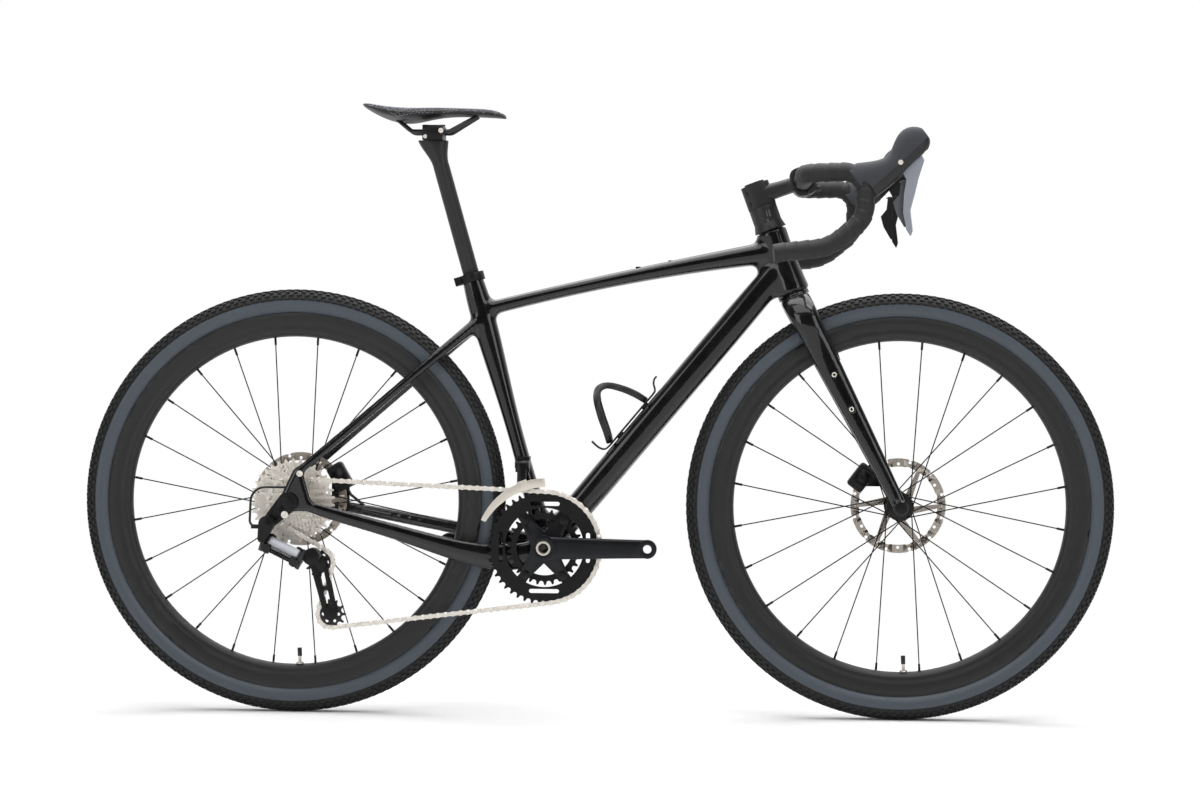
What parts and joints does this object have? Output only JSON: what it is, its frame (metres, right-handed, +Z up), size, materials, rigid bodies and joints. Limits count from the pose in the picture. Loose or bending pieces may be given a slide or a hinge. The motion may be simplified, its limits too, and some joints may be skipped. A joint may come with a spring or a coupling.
{
  "type": "gravel bicycle",
  "caption": "Black gravel bicycle with drop bar, disc brakes, knobbly tyres, double chainset, rear and front derailleurs, bottle cage and lattice-topped saddle, without pedals",
  "frame": {"origin": "on the ground midway between the wheels' contact points", "axes": "+X the way the bike rides, +Y to the rider's left, +Z up"},
  "size_m": [1.732, 0.5058, 1.0275],
  "materials": {
    "carbon_frame": "clear-coated dark carbon composite",
    "satin_carbon": "satin carbon composite",
    "black_alloy": "satin black anodised",
    "grey_alloy": "dark grey anodised",
    "bright_steel": "plated steel",
    "black_steel": "blackened steel",
    "tyre_rubber": "matt rubber",
    "black_plastic": "moulded, matt",
    "grip_rubber": "soft matt rubber",
    "bar_wrap": "matt wound tape",
    "saddle_cover": "moulded lattice, matt"
  },
  "bodies": {
    "frame": {"head_tube": "carbon_frame", "top_tube": "carbon_frame", "down_tube": "carbon_frame", "seat_tube": "carbon_frame", "bottom_bracket_shell": "carbon_frame", "chainstays": "carbon_frame", "seatstays": "carbon_frame", "derailleur_hanger": "black_alloy", "seat_clamp": "black_alloy", "frame_bearings": "bright_steel", "rear_axle": "black_alloy", "bottle_cage": "black_plastic", "frame_bolts": "black_steel", "front_derailleur_mount": "black_alloy", "rear_derailleur_bracket": "black_alloy", "rear_brake_caliper": "black_alloy", "frame_cables": "black_plastic", "chain": "bright_steel"},
    "seatpost": {"seatpost": "satin_carbon", "saddle_clamp": "black_alloy"},
    "saddle": {"saddle": "saddle_cover", "saddle_rails": "satin_carbon"},
    "front_derailleur": {"front_derailleur_cage": "bright_steel"},
    "rd_outer_link": {"rear_derailleur_outer_link": "grey_alloy"},
    "rd_inner_link": {"rear_derailleur_inner_link": "black_alloy"},
    "rd_knuckle": {"rear_derailleur_knuckle": "black_alloy"},
    "rd_cage": {"rear_derailleur_cage": "black_alloy"},
    "upper_jockey": {"upper_jockey_wheel": "black_plastic"},
    "lower_jockey": {"lower_jockey_wheel": "black_plastic"},
    "crank": {"right_crank_arm": "grey_alloy", "left_crank_arm": "grey_alloy", "big_chainring": "grey_alloy", "small_chainring": "grey_alloy", "crank_bolts": "black_steel"},
    "rear_wheel": {"rear_tyre": "tyre_rubber", "rear_rim": "satin_carbon", "rear_spokes": "black_steel", "rear_hub": "black_alloy", "rear_rotor": "bright_steel", "rear_valve": "bright_steel"},
    "cassette": {"cassette": "bright_steel"},
    "fork": {"fork": "carbon_frame", "headset_spacers": "black_alloy", "stem": "black_alloy", "handlebar": "black_alloy", "bar_tape": "bar_wrap", "lever_hoods": "grip_rubber", "front_axle": "black_alloy", "front_brake_caliper": "black_alloy", "fork_inserts": "bright_steel"},
    "right_lever": {"right_brake_lever": "grey_alloy"},
    "left_lever": {"left_brake_lever": "grey_alloy"},
    "right_paddle": {"right_shift_paddle": "black_plastic"},
    "left_paddle": {"left_shift_paddle": "black_plastic"},
    "front_wheel": {"front_tyre": "tyre_rubber", "front_rim": "satin_carbon", "front_spokes": "black_steel", "front_hub": "black_alloy", "front_rotor": "bright_steel", "front_valve": "bright_steel"}
  },
  "joints": [
    {"name": "steering", "type": "hinge", "parent": "frame", "child": "fork", "pos_m": [0.32845, 0, 0.7127], "axis": [-0.342, 0, 0.9397], "range_deg": [-45, 45]},
    {"name": "front_wheel_spin", "type": "hinge", "parent": "fork", "child": "front_wheel", "pos_m": [0.509, 0, 0.357], "axis": [0, 1, 0], "continuous": true},
    {"name": "rear_wheel_spin", "type": "hinge", "parent": "frame", "child": "rear_wheel", "pos_m": [-0.509, 0, 0.357], "axis": [0, 1, 0], "continuous": true},
    {"name": "crank_spin", "type": "hinge", "parent": "frame", "child": "crank", "pos_m": [-0.0825, 0, 0.285], "axis": [0, 1, 0], "continuous": true, "deforming": ["chain"]},
    {"name": "cassette_spin", "type": "hinge", "parent": "frame", "child": "cassette", "pos_m": [-0.509, 0, 0.357], "axis": [0, 1, 0], "continuous": true},
    {"name": "rear_derailleur_shift", "type": "hinge", "parent": "frame", "child": "rd_outer_link", "pos_m": [-0.538, -0.084, 0.292], "axis": [0.3358, 0.6428, 0.6885], "range_deg": [-18, 27], "deforming": ["chain"]},
    {"name": "rear_derailleur_inner_swing", "type": "hinge", "parent": "frame", "child": "rd_inner_link", "pos_m": [-0.54194, -0.07328, 0.28391], "axis": [0.3358, 0.6428, 0.6885], "range_deg": [-18, 27]},
    {"name": "rear_derailleur_knuckle_pivot", "type": "hinge", "parent": "rd_outer_link", "child": "rd_knuckle", "pos_m": [-0.49306, -0.084, 0.27008], "axis": [0.3358, 0.6428, 0.6885], "range_deg": [-27, 18]},
    {"name": "rear_derailleur_cage_swing", "type": "hinge", "parent": "rd_knuckle", "child": "rd_cage", "pos_m": [-0.46906, -0.086, 0.26708], "axis": [0, 1, 0], "range_deg": [-30, 30], "stiffness_Nm_per_rad": 3, "deforming": ["chain"]},
    {"name": "upper_jockey_spin", "type": "hinge", "parent": "rd_cage", "child": "upper_jockey", "pos_m": [-0.45906, 0, 0.25608], "axis": [0, 1, 0], "continuous": true},
    {"name": "lower_jockey_spin", "type": "hinge", "parent": "rd_cage", "child": "lower_jockey", "pos_m": [-0.43989, 0, 0.16917], "axis": [0, 1, 0], "continuous": true},
    {"name": "front_derailleur_swing", "type": "hinge", "parent": "frame", "child": "front_derailleur", "pos_m": [-0.12192, -0.037, 0.42246], "axis": [1, 0, 0], "range_deg": [0, 7], "deforming": ["chain"]},
    {"name": "seatpost_height", "type": "slide", "parent": "frame", "child": "seatpost", "axis": [-0.2756, 0, 0.9613], "range_m": [-0.03, 0.04]},
    {"name": "saddle_setback", "type": "slide", "parent": "seatpost", "child": "saddle", "axis": [1, 0, 0], "range_m": [-0.006, 0.012]},
    {"name": "right_brake_pull", "type": "hinge", "parent": "fork", "child": "right_lever", "pos_m": [0.49348, -0.21528, 0.91594], "axis": [0, 1, 0], "range_deg": [0, 20], "stiffness_Nm_per_rad": 0.6, "springref_deg": -17.19},
    {"name": "right_shift_push", "type": "hinge", "parent": "right_lever", "child": "right_paddle", "pos_m": [0.5015, -0.20818, 0.88597], "axis": [1, 0, 0], "range_deg": [0, 14], "stiffness_Nm_per_rad": 0.2, "springref_deg": -11.46},
    {"name": "left_brake_pull", "type": "hinge", "parent": "fork", "child": "left_lever", "pos_m": [0.49348, 0.21528, 0.91594], "axis": [0, 1, 0], "range_deg": [0, 20], "stiffness_Nm_per_rad": 0.6, "springref_deg": -17.19},
    {"name": "left_shift_push", "type": "hinge", "parent": "left_lever", "child": "left_paddle", "pos_m": [0.5015, 0.20818, 0.88597], "axis": [-1, 0, 0], "range_deg": [0, 14], "stiffness_Nm_per_rad": 0.2, "springref_deg": -11.46}
  ],
  "couplings": [
    {"joint": "cassette_spin", "follows": "crank_spin", "ratio": 2.4211},
    {"joint": "upper_jockey_spin", "follows": "crank_spin", "ratio": -4.1818},
    {"joint": "lower_jockey_spin", "follows": "crank_spin", "ratio": 4.1818},
    {"joint": "rear_derailleur_inner_swing", "follows": "rear_derailleur_shift", "ratio": 1},
    {"joint": "rear_derailleur_knuckle_pivot", "follows": "rear_derailleur_shift", "ratio": -1}
  ]
}
